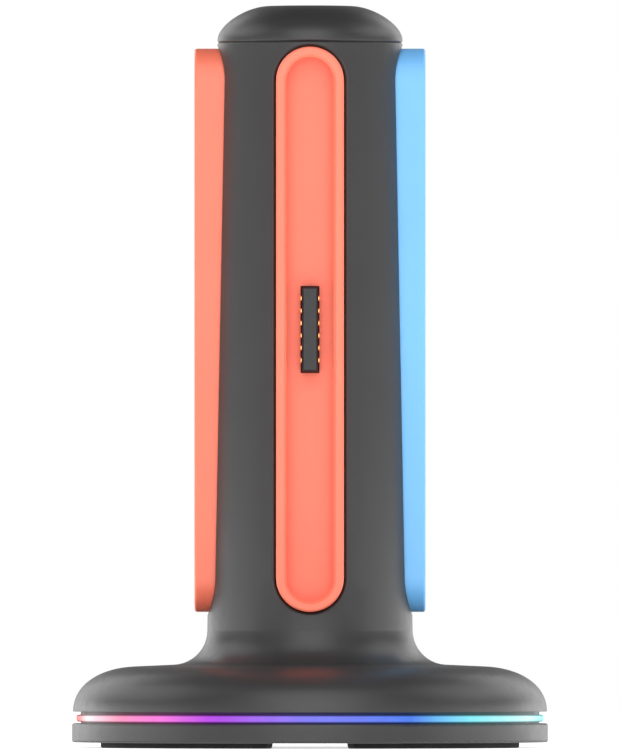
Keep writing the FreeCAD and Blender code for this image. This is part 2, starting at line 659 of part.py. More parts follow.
def make_light_ring():
    """The light guide: clamped between shell and plate, with a thinner lip that shows in the slit."""
    lip_low = PLATE_TOP + RING_LIP_GAP
    lip_high = lip_low + RING_LIP_HEIGHT
    clamp = RING_RADIUS - RING_LIP
    outline = Outline(RING_INNER_RADIUS, RIM)
    outline.line(RING_INNER_RADIUS, PLATE_TOP - SKIRT_DROP).line(SKIRT_RADIUS, PLATE_TOP - SKIRT_DROP)
    outline.line(SKIRT_RADIUS, PLATE_TOP).line(clamp, PLATE_TOP).line(clamp, lip_low)
    outline.rounded((RING_RADIUS, lip_low), (RING_RADIUS, lip_high), RING_EDGE)
    outline.rounded((RING_RADIUS, lip_high), (clamp, lip_high), RING_EDGE)
    outline.line(clamp, lip_high).line(clamp, RIM)
    return outline.revolved()


def make_bottom_plate():
    """A shallow dish with seats for the feet, the lamp board, the main board and the screws."""
    rim_inner = SKIRT_RADIUS + SKIRT_GAP
    rib_outer = LAMP_FACE - LAMP_RIB_INSET
    rib_inner = LAMP_BOARD_INNER + LAMP_RIB_INSET
    outline = Outline(0, PLATE_LOW)
    outline.rounded((BASE_RADIUS, PLATE_LOW), (BASE_RADIUS, PLATE_TOP), PLATE_EDGE)
    outline.rounded((BASE_RADIUS, PLATE_TOP), (rim_inner, PLATE_TOP), PLATE_EDGE)
    outline.line(rim_inner, PLATE_TOP).line(rim_inner, PLATE_FLOOR_TOP)
    outline.line(rib_outer, PLATE_FLOOR_TOP).line(rib_outer, LAMP_BOARD_LOW)
    outline.line(rib_inner, LAMP_BOARD_LOW).line(rib_inner, PLATE_FLOOR_TOP).line(0, PLATE_FLOOR_TOP)
    plate = outline.revolved()
    pad = rod(PAD_RADIUS, PLATE_FLOOR_TOP, PAD_TOP, BASE_SCREW_CIRCLE)
    post = rod(MAIN_POST_RADIUS, PLATE_FLOOR_TOP, MAIN_BOARD_LOW, MAIN_POST_CIRCLE)
    plate = plate.fuse(on_corners(pad) + on_sides(post))
    bore_top = PLATE_LOW + BASE_BORE_DEPTH
    counterbore = rod(BASE_SCREW_HEAD + BASE_BORE_GAP, PLATE_LOW, bore_top, BASE_SCREW_CIRCLE)
    screw_hole = rod(BASE_SCREW_SHANK + SCREW_PASS, PLATE_LOW, PAD_TOP, BASE_SCREW_CIRCLE)
    pilot_low = MAIN_BOARD_LOW - MAIN_SCREW_BITE - PILOT_SPARE
    pilot = rod(MAIN_SCREW_SHANK + SCREW_FIT, pilot_low, MAIN_BOARD_LOW, MAIN_POST_CIRCLE)
    end_gap = math.degrees(FOOT_GAP / (FOOT_RADIUS - FOOT_WIDTH / 2))
    recess = ring_sector(FOOT_RADIUS - FOOT_WIDTH - FOOT_GAP, FOOT_RADIUS + FOOT_GAP, PLATE_LOW,
                         PLATE_LOW + FOOT_SEAT, FOOT_SPAN + 2 * end_gap, 0, FOOT_CORNER + FOOT_GAP)
    tools = on_corners(counterbore) + on_corners(screw_hole) + on_corners(recess) + on_sides(pilot)
    return plate.cut(tools).removeSplitter()


def make_foot(angle):
    pad = ring_sector(FOOT_RADIUS - FOOT_WIDTH, FOOT_RADIUS, 0, FOOT_STAND + FOOT_SEAT,
                      FOOT_SPAN, angle, FOOT_CORNER)
    return pad.makeChamfer(FOOT_EDGE, edges_at_height(pad, 0))


# Boards, lamps, ballast and power inlet in the foot

def make_lamp_board():
    return rod(LAMP_FACE, LAMP_BOARD_LOW, LAMP_BOARD_TOP).cut(
        rod(LAMP_BOARD_INNER, LAMP_BOARD_LOW, LAMP_BOARD_TOP))


def make_lamps():
    lamp = bar(LAMP_FACE - LAMP_DEPTH, LAMP_FACE, LAMP_HALF, LAMP_BOARD_TOP, LAMP_BOARD_TOP + LAMP_HEIGHT)
    lamp = lamp.common(rod(LAMP_FACE, LAMP_BOARD_TOP, LAMP_BOARD_TOP + LAMP_HEIGHT))
    return [turned(lamp, number * 360 / LAMP_COUNT) for number in range(LAMP_COUNT)]


def make_main_board():
    """A round board with a tab that carries the power inlet at the back."""
    board = rod(MAIN_BOARD_RADIUS, MAIN_BOARD_LOW, MAIN_BOARD_TOP)
    tab = bar(0, PORT_MOUTH - TAB_SHORT, TAB_HALF, MAIN_BOARD_LOW, MAIN_BOARD_TOP)
    tab = tab.common(rod(DOME_RADIUS - DOME_WALL - MAIN_BOARD_CLEAR, MAIN_BOARD_LOW, MAIN_BOARD_TOP))
    hole = rod(MAIN_SCREW_SHANK + SCREW_PASS, MAIN_BOARD_LOW, MAIN_BOARD_TOP, MAIN_POST_CIRCLE)
    return board.fuse(turned(tab, SIDES["back"])).cut(on_sides(hole)).removeSplitter()


def make_main_parts():
    """A control chip and three inductors between the cable sockets of the main board."""
    far = frame_screw_circle() - FRAME_SCREW_HEAD - PART_GAP
    chip = bar(far - CONTROL_CHIP_SIZE, far, CONTROL_CHIP_SIZE / 2,
               MAIN_BOARD_TOP, MAIN_BOARD_TOP + CHIP_THICKNESS)
    coil_top = MAIN_BOARD_TOP + INDUCTOR_HEIGHT
    inductor = bar(far - INDUCTOR_SIZE, far, INDUCTOR_SIZE / 2, MAIN_BOARD_TOP, coil_top)
    inductor = inductor.makeChamfer(INDUCTOR_EDGE, edges_at_height(inductor, coil_top))
    return on_corners(chip)[0], on_corners(inductor)[1:]


def make_lamp_link():
    """A short ribbon from the top of the main board down to the lamp board."""
    upper = MAIN_BOARD_TOP + CABLE_THICKNESS / 2
    lower = LAMP_BOARD_TOP + CABLE_THICKNESS / 2
    drop = MAIN_BOARD_RADIUS + LINK_LAP
    link = Ribbon(MAIN_BOARD_RADIUS - LINK_LAP, upper).run(drop - LINK_TURN, upper)
    link.turn((drop, upper), (drop, upper - LINK_TURN)).run(drop, lower + LINK_TURN)
    link.turn((drop, lower), (drop + LINK_TURN, lower)).run(LAMP_BOARD_INNER + LINK_LAP, lower)
    return turned(link.solid(LINK_HALF), SIDES["front"])


def make_ballast():
    """A steel disc that lies on the bottom plate round the main board's posts."""
    top = PLATE_FLOOR_TOP + BALLAST_THICKNESS
    hole = rod(MAIN_POST_RADIUS + BALLAST_GAP, PLATE_FLOOR_TOP, top, MAIN_POST_CIRCLE)
    disc = rod(BASE_SCREW_CIRCLE - PAD_RADIUS - PAD_GAP, PLATE_FLOOR_TOP, top)
    return disc.cut(on_sides(hole) + [rod(BALLAST_BORE, PLATE_FLOOR_TOP, top)])


def make_power_port():
    """The metal sleeve of the inlet, open at the back of the foot."""
    sleeve = lying_stadium(PORT_HALF_HEIGHT, PORT_HALF_WIDTH, PORT_REAR, PORT_MOUTH)
    hollow = lying_stadium(PORT_HALF_HEIGHT - PORT_WALL, PORT_HALF_WIDTH - PORT_WALL, PORT_REAR, PORT_MOUTH)
    return turned(sleeve.cut(hollow), SIDES["back"])


def make_port_tongue():
    """The insulator that closes the sleeve's rear and carries its contact tongue."""
    inside = PORT_HALF_WIDTH - PORT_WALL
    rear = lying_stadium(PORT_HALF_HEIGHT - PORT_WALL, inside, PORT_REAR, PORT_REAR + PORT_BACK)
    blade = bar(PORT_REAR, PORT_REAR + PORT_BACK + PORT_TONGUE_LENGTH, inside - PORT_TONGUE_SIDE,
                PORT_HEIGHT - PORT_TONGUE_THICKNESS / 2, PORT_HEIGHT + PORT_TONGUE_THICKNESS / 2)
    return turned(rear.fuse(blade).removeSplitter(), SIDES["back"])


# Screws of the foot

def make_base_screws():
    under_head = PLATE_LOW + BASE_BORE_DEPTH
    one = screw(BASE_SCREW_SHANK, BASE_SCREW_HEAD, BASE_SCREW_HEAD_HEIGHT,
                PAD_TOP + BASE_SCREW_BITE - under_head)
    one.translate(Vector(BASE_SCREW_CIRCLE, 0, under_head))
    return on_corners(one)


def make_frame_screws():
    one = screw(FRAME_SCREW_SHANK, FRAME_SCREW_HEAD, FRAME_SCREW_HEAD_HEIGHT,
                FLANGE_THICKNESS + FRAME_SCREW_BITE)
    one.translate(Vector(frame_screw_circle(), 0, FLANGE_LOW))
    return on_corners(one)


def make_main_board_screws():
    one = screw(MAIN_SCREW_SHANK, MAIN_SCREW_HEAD, MAIN_SCREW_HEAD_HEIGHT,
                MAIN_BOARD_THICKNESS + MAIN_SCREW_BITE)
    one.rotate(ORIGIN, Vector(1, 0, 0), 180)
    one.translate(Vector(MAIN_POST_CIRCLE, 0, MAIN_BOARD_TOP))
    return on_sides(one)


def save(name, *solids):
    """Writes one node. Several solids make a group."""
    shape = solids[0] if len(solids) == 1 else Part.makeCompound(list(solids))
    shape.exportStep(os.path.join("parts", name + ".step"))


def save_charging_places():
    """The pieces of the four charging places, with the like pieces of all four in shared groups."""
    holder, tongue, pins, magnets = make_holder(), make_contact_tongue(), make_contact_pins(), make_magnets()
    board, cable = make_charge_board(), make_charge_cable()
    for side, angle in SIDES.items():
        save("holder_" + side, turned(holder, angle))
        save("contact_tongue_" + side, turned(tongue, angle))
        save("contact_pins_" + side, *[turned(pin, angle) for pin in pins])
        save("magnets_" + side, *[turned(magnet, angle) for magnet in magnets])
        save("charge_board_" + side, turned(board, angle))
        save("charge_cable_" + side, turned(cable, angle))
    save("charge_chips", *on_sides(make_charge_chip()))
    save("cable_sockets", *[copy for socket in make_sockets() for copy in on_sides(socket)])
    save("board_screws", *[copy for one in make_board_screws() for copy in on_sides(one)])


def main():
    os.makedirs("parts", exist_ok=True)
    save("tower_shell", make_tower_shell())
    save("top_cap", make_top_cap())
    save("core_frame", make_core_frame())
    save_charging_places()
    save("light_ring", make_light_ring())
    save("lamp_board", make_lamp_board())
    save("lamps", *make_lamps())
    save("lamp_link", make_lamp_link())
    save("main_board", make_main_board())
    control_chip, inductors = make_main_parts()
    save("control_chip", control_chip)
    save("inductors", *inductors)
    save("power_port", make_power_port())
    save("port_tongue", make_port_tongue())
    save("ballast_plate", make_ballast())
    save("bottom_plate", make_bottom_plate())
    for corner, angle in CORNERS.items():
        save("foot_" + corner, make_foot(angle))
    save("base_screws", *make_base_screws())
    save("frame_screws", *make_frame_screws())
    save("main_board_screws", *make_main_board_screws())


main()
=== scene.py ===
"""Dresses the charging station: finishes for plastics, metal and lights, and small pieces in detail.

Metres, in the frame of the solids: the origin is the middle of the underside, +Z is up, -Y is the front.
"""

import math
from typing import NamedTuple

import bmesh
import bpy
from bpy.props import FloatProperty, FloatVectorProperty, IntProperty, PointerProperty
from mathutils import Matrix, Vector


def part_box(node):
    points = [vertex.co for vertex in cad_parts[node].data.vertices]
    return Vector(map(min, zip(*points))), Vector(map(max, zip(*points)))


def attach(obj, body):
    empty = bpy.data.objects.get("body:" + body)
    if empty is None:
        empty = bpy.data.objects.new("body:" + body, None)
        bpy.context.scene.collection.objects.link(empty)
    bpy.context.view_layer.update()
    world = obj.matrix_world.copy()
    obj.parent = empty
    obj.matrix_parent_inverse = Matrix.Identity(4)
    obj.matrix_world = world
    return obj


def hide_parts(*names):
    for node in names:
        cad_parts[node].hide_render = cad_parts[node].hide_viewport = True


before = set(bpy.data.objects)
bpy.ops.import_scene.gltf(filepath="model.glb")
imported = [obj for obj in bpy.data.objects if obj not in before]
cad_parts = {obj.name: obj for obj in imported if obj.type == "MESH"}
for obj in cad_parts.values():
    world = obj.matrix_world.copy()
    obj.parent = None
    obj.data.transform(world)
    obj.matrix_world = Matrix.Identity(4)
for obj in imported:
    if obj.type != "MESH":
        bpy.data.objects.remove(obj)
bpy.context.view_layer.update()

bl_info = {
    "name": "Charging Station",
    "version": (1, 0, 0),
    "blender": (4, 5, 0),
    "location": "View3D > Sidebar > Station",
    "description": "Finishes and small pieces of a desk charging station with four pockets",
    "category": "Object",
}

MM = 0.001
ROW_TREE = "Row Round The Axis"
RING_TREE = "Section Round The Axis"
SIDES = ("right", "back", "left", "front")
CORNERS = ("back_right", "back_left", "front_left", "front_right")

# Places taken from the solids
PINS_LOW, PINS_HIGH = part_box("contact_pins_right")
SCREWS_LOW, SCREWS_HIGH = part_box("base_screws")
INLET_LOW, INLET_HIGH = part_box("port_tongue")
RING_LOW, RING_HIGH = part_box("light_ring")

# Colours round the light ring, by share of a turn from the left side through the front
RING_COLOURS = [
    (0.00, (0.55, 0.06, 0.06)),
    (0.03, (0.75, 0.15, 0.15)),
    (0.05, (1.00, 0.85, 0.88)),
    (0.10, (1.00, 0.30, 0.52)),
    (0.14, (0.98, 0.20, 0.76)),
    (0.18, (0.50, 0.07, 0.85)),
    (0.25, (0.23, 0.22, 0.97)),
    (0.32, (0.08, 0.22, 0.90)),
    (0.37, (0.24, 0.87, 0.97)),
    (0.44, (0.62, 0.97, 0.97)),
    (0.48, (0.16, 0.68, 0.70)),
    (0.60, (0.12, 0.90, 0.25)),
    (0.75, (0.70, 0.90, 0.06)),
    (0.88, (1.00, 0.35, 0.04)),
    (1.00, (0.55, 0.06, 0.06)),
]

# Most of a noise lies between these values
NOISE_LOW, NOISE_HIGH = 0.3, 0.7

# Light ring
LIP_STEPS = 8           # in each rounded edge of its lip
LIP_GLOW_DEPTH = 0.9    # part of the lip's width that glows
LIP_CORE = 0.6          # part of the lip's height that glows fully
LIP_EDGE_GLOW = 0.3     # glow at the lip's upper and lower edge, of the full glow

# Spring contacts
LEAF_STEPS = 14         # along one contact
LEAF_TIP = 0.55         # width at its ends, of the full width
LEAF_FACE = 0.9         # width of its upper face, of the full width

# Screws
SCREW_SIDES = 32        # points round a screw
HEAD_EDGE = 0.45        # rounding of the head's edge, of the head's height
EDGE_STEPS = 6          # in that rounding
RECESS_ARM = 0.62       # reach of the cross recess, of the head's radius
RECESS_HALF = 0.13      # half its width, of the head's radius
RECESS_FLOOR = 0.45     # height of its floor, of the head's height
RECESS_TAPER_X = 0.7    # size of its floor along X, of its mouth
RECESS_TAPER_Y = 0.9    # and along Y
THREAD_STEPS = 6        # in one turn
THREAD_WIDTH = 0.5      # part of the pitch that the thread takes up
THREAD_ROOT = 0.82      # radius between the turns, of the radius over the thread
NECK = 0.9              # radius under the head, of the radius over the thread
POINT_LENGTH = 1.6      # taper of the point, of the radius over the thread
POINT_TIP = 0.25        # radius at its end, of the radius over the thread


class SoftPanel(NamedTuple):
    """A soft light that faces the tower."""
    name: str
    azimuth: float      # degrees from the front
    elevation: float    # degrees above level
    distance: float     # metres from the tower's middle
    width: float        # metres
    height: float       # metres
    setting: str        # the stage setting with its brightness


FRONT_PANEL = SoftPanel("front softbox", azimuth=0, elevation=34, distance=1.2,
                        width=0.95, height=1.7, setting="softbox")

# Each of these stands on the right, and again on the left
PAIRED_PANELS = (
    SoftPanel("side panel", azimuth=102, elevation=38, distance=0.95,
              width=0.65, height=0.6, setting="side_panels"),
    SoftPanel("foot strip", azimuth=92, elevation=-22, distance=0.15,
              width=0.2, height=0.03, setting="foot_strips"),
    SoftPanel("rear panel", azimuth=145, elevation=15, distance=1.1,
              width=0.7, height=0.9, setting="rear_panels"),
)


# Settings that a user would change

class FinishSettings(bpy.types.PropertyGroup):
    """Colours and surface of the plastics and metals."""
    shell: FloatVectorProperty(
        name="Shell", description="Dark grey of the tower, cap and bottom plate",
        subtype="COLOR", size=3, min=0, max=1, default=(0.033, 0.033, 0.034))
    warm: FloatVectorProperty(
        name="Warm Holders", description="Orange of the left and front holders",
        subtype="COLOR", size=3, min=0, max=1, default=(0.96, 0.205, 0.122))
    cool: FloatVectorProperty(
        name="Cool Holders", description="Blue of the right and back holders",
        subtype="COLOR", size=3, min=0, max=1, default=(0.18, 0.52, 0.95))
    insulator: FloatVectorProperty(
        name="Insulators", description="Black of the tongues, sockets, chips and inner frame",
        subtype="COLOR", size=3, min=0, max=1, default=(0.012, 0.012, 0.013))
    rubber: FloatVectorProperty(
        name="Feet", description="Black of the rubber feet",
        subtype="COLOR", size=3, min=0, max=1, default=(0.016, 0.016, 0.017))
    gold: FloatVectorProperty(
        name="Contacts", description="Plating of the contacts",
        subtype="COLOR", size=3, min=0, max=1, default=(0.93, 0.66, 0.27))
    grain: FloatProperty(
        name="Grain", description="Size of the moulded grain",
        unit="LENGTH", min=0.00005, max=0.002, default=0.28 * MM)
    grain_depth: FloatProperty(
        name="Grain Depth", description="Height of the moulded grain",
        unit="LENGTH", min=0, max=0.0002, default=0.012 * MM)
    edge: FloatProperty(
        name="Soft Edge", description="Radius by which moulded edges look rounded",
        unit="LENGTH", min=0.00001, max=0.002, default=0.2 * MM)


class LightSettings(bpy.types.PropertyGroup):
    """The light ring in the foot, its section and its glow."""
    glow: FloatProperty(
        name="Ring Glow", description="Strength of the light ring", min=0, max=10, default=1.0)
    seep: FloatProperty(
        name="Seep", description="Share of the glow that seeps out beside the lip",
        subtype="FACTOR", min=0, max=1, default=0.08)
    lamp_glow: FloatProperty(
        name="Lamp Glow", description="Strength of the lamps behind the ring",
        min=0, max=10, default=2.0)
    segments: IntProperty(
        name="Segments", description="Flat steps in one turn of the ring", min=16, max=1024, default=288)
    width: FloatProperty(
        name="Width", description="From the inside of the ring to its outer edge",
        unit="LENGTH", min=0.002, max=0.02, default=5.5 * MM)
    skirt: FloatProperty(
        name="Skirt", description="Width of the skirt that drops inside the bottom plate's rim",
        unit="LENGTH", min=0.0002, max=0.005, default=1.3 * MM)
    seat: FloatProperty(
        name="Seat", description="Height of the bottom plate's rim, which carries the ring",
        unit="LENGTH", min=0, max=0.02, default=4.6 * MM)
    lip_width: FloatProperty(
        name="Lip Width", description="Width of the ring's outer part, which glows in the slit",
        unit="LENGTH", min=0.0001, max=0.005, default=0.8 * MM)
    lip_height: FloatProperty(
        name="Lip Height", description="Height of the ring's outer part",
        unit="LENGTH", min=0.0002, max=0.005, default=1.3 * MM)
    lip_middle: FloatProperty(
        name="Lip Middle", description="Height of the middle of the outer part above the table",
        unit="LENGTH", min=0, max=0.02, default=5.55 * MM)
    lip_edge: FloatProperty(
        name="Lip Edge", description="Rounding of the outer part's edges",
        unit="LENGTH", min=0.00005, max=0.002, default=0.35 * MM)


class ContactSettings(bpy.types.PropertyGroup):
    """Spring contacts of the pockets and flat contacts of the power inlet."""
    count: IntProperty(
        name="Contacts", description="Contacts on each side of a tongue", min=2, max=20, default=6)
    width: FloatProperty(
        name="Width", description="Width of a contact",
        unit="LENGTH", min=0.0002, max=0.003, default=1.1 * MM)
    thickness: FloatProperty(
        name="Thickness", description="Thickness of a contact",
        unit="LENGTH", min=0.00002, max=0.001, default=0.12 * MM)
    bow: FloatProperty(
        name="Bow", description="How far the middle of a contact springs out",
        unit="LENGTH", min=0, max=0.001, default=0.22 * MM)
    inlet_count: IntProperty(
        name="Inlet Contacts", description="Contacts on each face of the inlet's tongue",
        min=2, max=24, default=12)
    inlet_pitch: FloatProperty(
        name="Inlet Pitch", description="Distance between the inlet's contacts",
        unit="LENGTH", min=0.0002, max=0.002, default=0.5 * MM)
    inlet_width: FloatProperty(
        name="Inlet Width", description="Width of an inlet contact",
        unit="LENGTH", min=0.0001, max=0.002, default=0.27 * MM)
    inlet_length: FloatProperty(
        name="Inlet Length", description="Length of an inlet contact",
        unit="LENGTH", min=0.001, max=0.01, default=3.9 * MM)
    inlet_thickness: FloatProperty(
        name="Inlet Thickness", description="How far an inlet contact stands off the blade",
        unit="LENGTH", min=0.00001, max=0.0005, default=0.03 * MM)
    blade: FloatProperty(
        name="Blade", description="Thickness of the blade in the inlet",
        unit="LENGTH", min=0.0002, max=0.003, default=0.7 * MM)
    blade_tip: FloatProperty(
        name="Blade Tip", description="Bare end of the blade in front of its contacts",
        unit="LENGTH", min=0, max=0.002, default=0.2 * MM)


class ScrewSettings(bpy.types.PropertyGroup):
    """Pan-head screws under the bottom plate."""
    head: FloatProperty(
        name="Head", description="Radius of the head",
        unit="LENGTH", min=0.0005, max=0.01, default=2.3 * MM)
    head_height: FloatProperty(
        name="Head Height", description="Height of the head",
        unit="LENGTH", min=0.0002, max=0.005, default=0.9 * MM)
    shank: FloatProperty(
        name="Shank", description="Radius over the thread",
        unit="LENGTH", min=0.0003, max=0.005, default=1.15 * MM)
    pitch: FloatProperty(
        name="Thread Pitch", description="Distance between turns of the thread",
        unit="LENGTH", min=0.0003, max=0.003, default=0.9 * MM)


class StageSettings(bpy.types.PropertyGroup):
    """Floor, light and camera."""
    distance: FloatProperty(
        name="Camera Distance", description="From the camera to the axis of the tower",
        unit="LENGTH", min=0.5, max=5.5, default=5.5)
    view_height: FloatProperty(
        name="View Height", description="Height of the object that fills the frame",
        unit="LENGTH", min=0.05, max=1, default=0.142)
    aim: FloatProperty(
        name="Aim", description="Height that the camera looks at",
        unit="LENGTH", min=0, max=0.2, default=0.0698)
    eye: FloatProperty(
        name="Eye", description="Height of the camera",
        unit="LENGTH", min=0, max=1, default=0.03)
    floor: FloatProperty(
        name="Floor", description="Radius of the floor",
        unit="LENGTH", min=0.3, max=2.5, default=1.6)
    surround: FloatProperty(
        name="Surround", description="Brightness of the white studio behind the object",
        min=0, max=5, default=1.0)
    front_fill: FloatProperty(
        name="Front Fill", description="Share of the surround that lights the front",
        subtype="FACTOR", min=0, max=1, default=0.5)
    back_fill: FloatProperty(
        name="Back Fill", description="Share of the surround that lights the back",
        subtype="FACTOR", min=0, max=1, default=0.4)
    top_fill: FloatProperty(
        name="Top Fill", description="Part of these shares that is left overhead",
        subtype="FACTOR", min=0, max=1, default=0.15)
    softbox: FloatProperty(
        name="Softbox", description="Brightness of the tall light in front",
        min=0, max=50, default=2.1)
    side_panels: FloatProperty(
        name="Side Panels", description="Brightness of the panels at the sides",
        min=0, max=50, default=1.7)
    foot_strips: FloatProperty(
        name="Foot Strips", description="Brightness of the low lights beside the foot",
        min=0, max=50, default=2.5)
    rear_panels: FloatProperty(
        name="Rear Panels", description="Brightness of the panels behind the sides",
        min=0, max=50, default=1.8)


class StationSettings(bpy.types.PropertyGroup):
    """All settings of the station."""
    finish: PointerProperty(type=FinishSettings, name="Finish", description="Plastics and metals")
    light: PointerProperty(type=LightSettings, name="Light", description="Light ring and lamps")
    contacts: PointerProperty(type=ContactSettings, name="Contacts", description="Pockets and inlet")
    screws: PointerProperty(type=ScrewSettings, name="Screws", description="Screws under the plate")
    stage: PointerProperty(type=StageSettings, name="Stage", description="Floor, light and camera")


# Node trees

class Nodes:
    """Adds nodes to a tree, and links or sets their inputs."""

    def __init__(self, tree):
        self.tree = tree

    def feed(self, socket, value):
        """Links an output to the socket, or sets it to a plain value."""
        if isinstance(value, bpy.types.NodeSocket):
            self.tree.links.new(value, socket)
        else:
            socket.default_value = value

    def add(self, kind, inputs=None, **options):
        """A node with its options, and its inputs by name or number."""
        node = self.tree.nodes.new(kind)
        for key, value in options.items():
            setattr(node, key, value)
        for key, value in (inputs or {}).items():
            self.feed(node.inputs[key], value)
        return node

    def math(self, operation, first, second=0.0):
        """The result of a sum, product or other operation on one or two values."""
        return self.add("ShaderNodeMath", {0: first, 1: second}, operation=operation).outputs[0]

    def spread(self, factor, low, high, start=NOISE_LOW, end=NOISE_HIGH, interpolation="LINEAR"):
        """Goes from low to high while factor goes from start to end, by default across a noise."""
        inputs = {"Value": factor, "From Min": start, "From Max": end, "To Min": low, "To Max": high}
        return self.add("ShaderNodeMapRange", inputs, interpolation_type=interpolation).outputs["Result"]


class Finish(Nodes):
    """A procedural material on Object coordinates."""

    def __init__(self, name):
        self.material = bpy.data.materials.new(name)
        self.material.use_nodes = True
        super().__init__(self.material.node_tree)
        self.shader = self.tree.nodes["Principled BSDF"]
        self.place = self.add("ShaderNodeTexCoord").outputs["Object"]

    def axes(self):
        """The three coordinates of a point on the piece."""
        return self.add("ShaderNodeSeparateXYZ", {0: self.place}).outputs

    def noise(self, size, detail=2.0, stretch=(1, 1, 1)):
        """Soft spots of about that size, in metres, drawn out along an axis by stretch."""
        scale = [1 / (size * share) for share in stretch]
        scaled = self.add("ShaderNodeMapping", {0: self.place, "Scale": scale}).outputs[0]
        inputs = {"Vector": scaled, "Scale": 1.0, "Detail": detail}
        return self.add("ShaderNodeTexNoise", inputs).outputs["Fac"]

    def ramp(self, factor, stops):
        """A colour that goes through the stops, each a position and a colour, as factor rises."""
        node = self.add("ShaderNodeValToRGB", {"Fac": factor})
        elements = node.color_ramp.elements
        while len(elements) < len(stops):
            elements.new(1.0)
        for element, (position, colour) in zip(elements, stops):
            element.position = position
            element.color = (*colour, 1.0)
        return node.outputs["Color"]

    def shades(self, factor, colour, change):
        """The colour, darker to lighter by the share change, as factor goes across a noise."""
        dark = [part * (1 - change) for part in colour]
        light = [min(1, part * (1 + change)) for part in colour]
        return self.ramp(factor, [(NOISE_LOW, dark), (NOISE_HIGH, light)])

    def bump(self, height, depth, edge=0.0):
        """Relief of that depth, over edges that look rounded by the radius edge."""
        inputs = {"Height": height, "Distance": depth}
        if edge:
            rounded = self.add("ShaderNodeBevel", {"Radius": edge}, samples=6)
            inputs["Normal"] = rounded.outputs["Normal"]
        return self.add("ShaderNodeBump", inputs).outputs["Normal"]

    def surface(self, **sockets):
        """Sets or links inputs of the shader, named with spaces as underscores."""
        for key, value in sockets.items():
            self.feed(self.shader.inputs[key.replace("_", " ")], value)
        return self.material


class Layout(Nodes):
    """A tree of geometry nodes with named inputs, which ends in real geometry with a finish."""

    def __init__(self, name, **inputs):
        super().__init__(bpy.data.node_groups.new(name, "GeometryNodeTree"))
        ports = self.tree.interface
        ports.new_socket("Geometry", in_out="INPUT", socket_type="NodeSocketGeometry")
        for key, kind in inputs.items():
            ports.new_socket(key.replace("_", " "), in_out="INPUT", socket_type="NodeSocket" + kind)
        ports.new_socket("Finish", in_out="INPUT", socket_type="NodeSocketMaterial")
        ports.new_socket("Geometry", in_out="OUTPUT", socket_type="NodeSocketGeometry")
        self.given = self.add("NodeGroupInput").outputs

    def copies(self, geometry, points, rotation=(0, 0, 0)):
        """A copy of the geometry on each point, turned by the rotation."""
        inputs = {"Points": points, "Instance": geometry, "Rotation": rotation}
        return self.add("GeometryNodeInstanceOnPoints", inputs).outputs["Instances"]

    def fan(self, count, axis, step, first=0.0):
        """That many points at the origin, and for each a turn about the axis."""
        points = self.add("GeometryNodeMeshLine", {"Count": count, "Offset": (0, 0, 0)}).outputs[0]
        index = self.add("GeometryNodeInputIndex").outputs[0]
        angle = self.math("ADD", self.math("MULTIPLY", index, step), first)
        return points, self.add("ShaderNodeCombineXYZ", {axis: angle}).outputs[0]

    def scaled(self, vector, factor):
        """The vector times the factor."""
        inputs = {0: vector, "Scale": factor}
        return self.add("ShaderNodeVectorMath", inputs, operation="SCALE").outputs[0]

    def close(self, geometry):
        """Makes copies real, gives them their finish and ends the tree."""
        real = self.add("GeometryNodeRealizeInstances", {"Geometry": geometry}).outputs[0]
        inputs = {"Geometry": real, "Material": self.given["Finish"]}
        painted = self.add("GeometryNodeSetMaterial", inputs).outputs[0]
        self.add("NodeGroupOutput", {0: painted})
        return self.tree


def row_tree():
    """Copies of a piece in a row, on one or both faces, and round the axis by quarter turns."""
    layout = Layout(ROW_TREE, Count="Int", Pitch="Float", Along="Vector", Faces="Int",
                    Place="Vector", Turns="Int", First_Angle="Float")
    given = layout.given
    step = layout.scaled(given["Along"], given["Pitch"])
    half = layout.math("MULTIPLY", layout.math("SUBTRACT", given["Count"], 1.0), -0.5)
    inputs = {"Count": given["Count"], "Start Location": layout.scaled(step, half), "Offset": step}
    row = layout.copies(given["Geometry"], layout.add("GeometryNodeMeshLine", inputs).outputs[0])
    faces = layout.copies(row, *layout.fan(given["Faces"], "X", math.pi))
    inputs = {"Geometry": faces, "Translation": given["Place"]}
    placed = layout.add("GeometryNodeTransform", inputs).outputs[0]
    quarters = layout.fan(given["Turns"], "Z", math.pi / 2, given["First Angle"])
    return layout.close(layout.copies(placed, *quarters))


def ring_tree():
    """A closed section swept round the axis, drawn outwards along X and downwards along Y."""
    layout = Layout(RING_TREE, Radius="Float", Segments="Int")
    given = layout.given
    section = layout.add("GeometryNodeMeshToCurve", {"Mesh": given["Geometry"]}).outputs[0]
    inputs = {"Resolution": given["Segments"], "Radius": given["Radius"]}
    circle = layout.add("GeometryNodeCurvePrimitiveCircle", inputs).outputs[0]
    inputs = {"Curve": circle, "Profile Curve": section}
    return layout.close(layout.add("GeometryNodeCurveToMesh", inputs).outputs[0])


# Materials

def moulded(name, colour, grain, depth, roughness, change, edge):
    """Satin plastic from a grained mould: slow drift of shade and gloss, fine even grain, soft edges."""
    finish = Finish(name)
    drift = finish.noise(14 * MM)
    patches = finish.noise(1.6 * MM, 3.0)
    fine = finish.noise(grain, 3.0)
    return finish.surface(
        Base_Color=finish.shades(drift, colour, change),
        Roughness=finish.spread(patches, roughness - 0.03, roughness + 0.03),
        Normal=finish.bump(fine, depth, edge),
        IOR=1.5)


def metal(name, colour, roughness, stretch):
    """Drawn or plated metal with fine marks along one axis."""
    finish = Finish(name)
    marks = finish.noise(0.12 * MM, 3.0, stretch)
    tarnish = finish.noise(3 * MM)
    return finish.surface(
        Base_Color=finish.shades(tarnish, colour, 0.06),
        Roughness=finish.spread(marks, roughness - 0.06, roughness + 0.08),
        Normal=finish.bump(marks, 0.004 * MM),
        Metallic=1.0)


